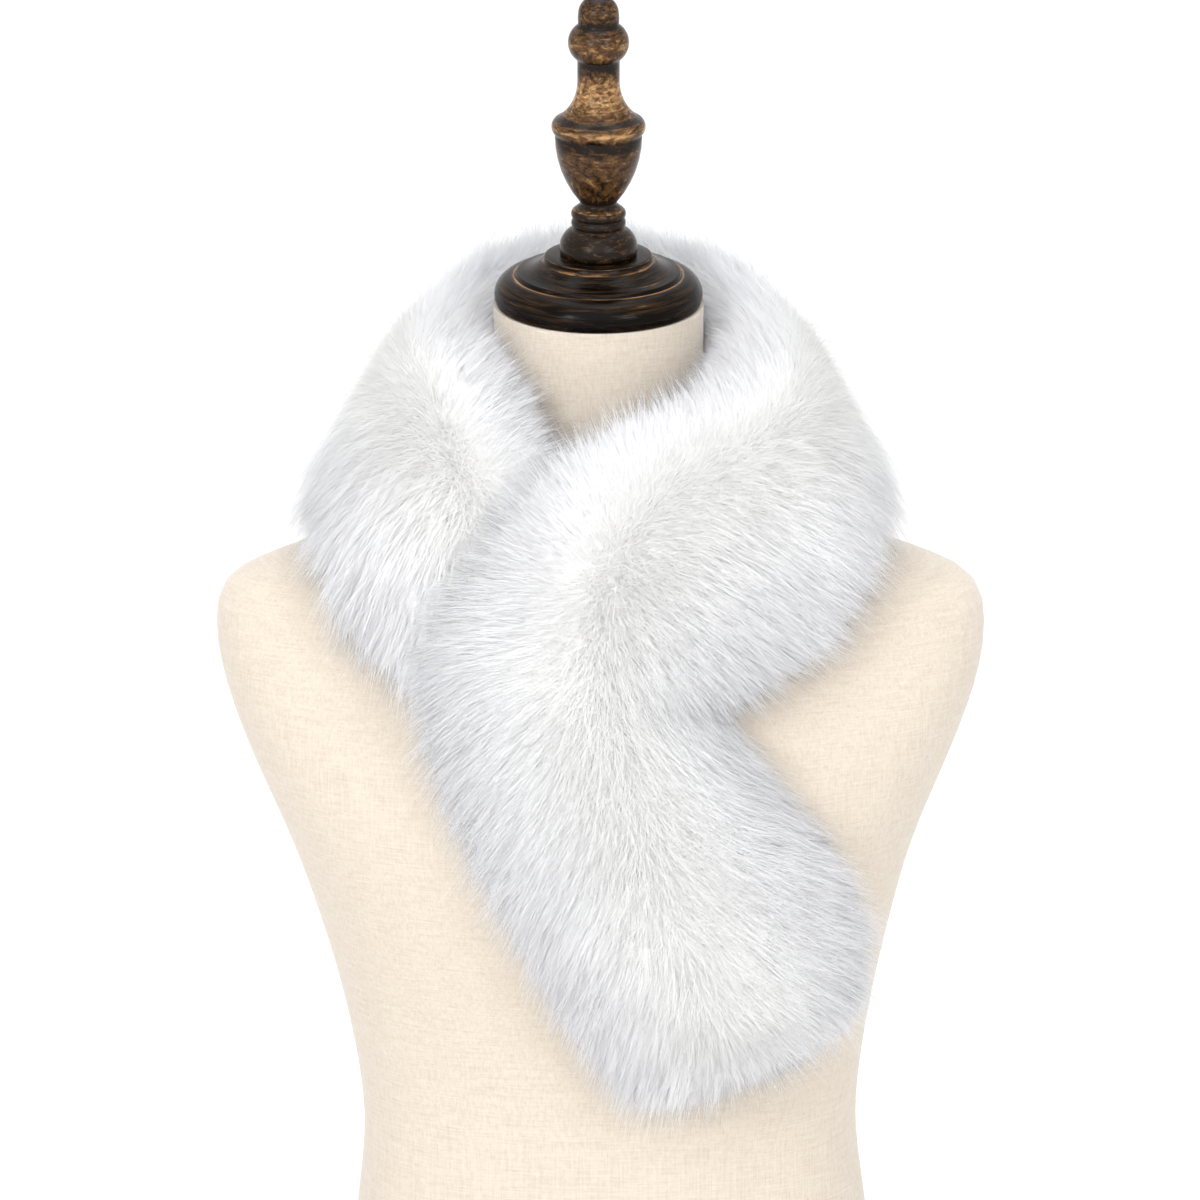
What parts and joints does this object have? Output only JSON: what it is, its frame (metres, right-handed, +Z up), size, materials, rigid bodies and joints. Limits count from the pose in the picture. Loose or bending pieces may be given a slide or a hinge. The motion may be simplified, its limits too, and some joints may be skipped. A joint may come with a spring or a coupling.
{
  "type": "fur collar wrap on dress form",
  "caption": "Long-pile fur collar wrap, a padded strip laid round the neck and crossed over the chest, on a limbless dress form with a turned neck cap and finial.",
  "frame": {"origin": "on the form's flat base, straight below the middle of the neck", "axes": "+Z up, -Y towards the front of the form, +X to the right as seen from the front"},
  "size_m": [0.3992, 0.3038, 0.759],
  "materials": {
    "linen": "plain woven linen, cream beige",
    "dark_wood": "dark stained, satin, edges rubbed to a bronze brown",
    "fur": "white long-pile fur, soft and matt"
  },
  "bodies": {
    "root": {"form_body": "linen", "neck_cap": "dark_wood", "finial": "dark_wood", "wrap_left_front": "fur", "wrap_back": "fur", "wrap_right_front": "fur", "wrap_tail": "fur"}
  },
  "joints": []
}
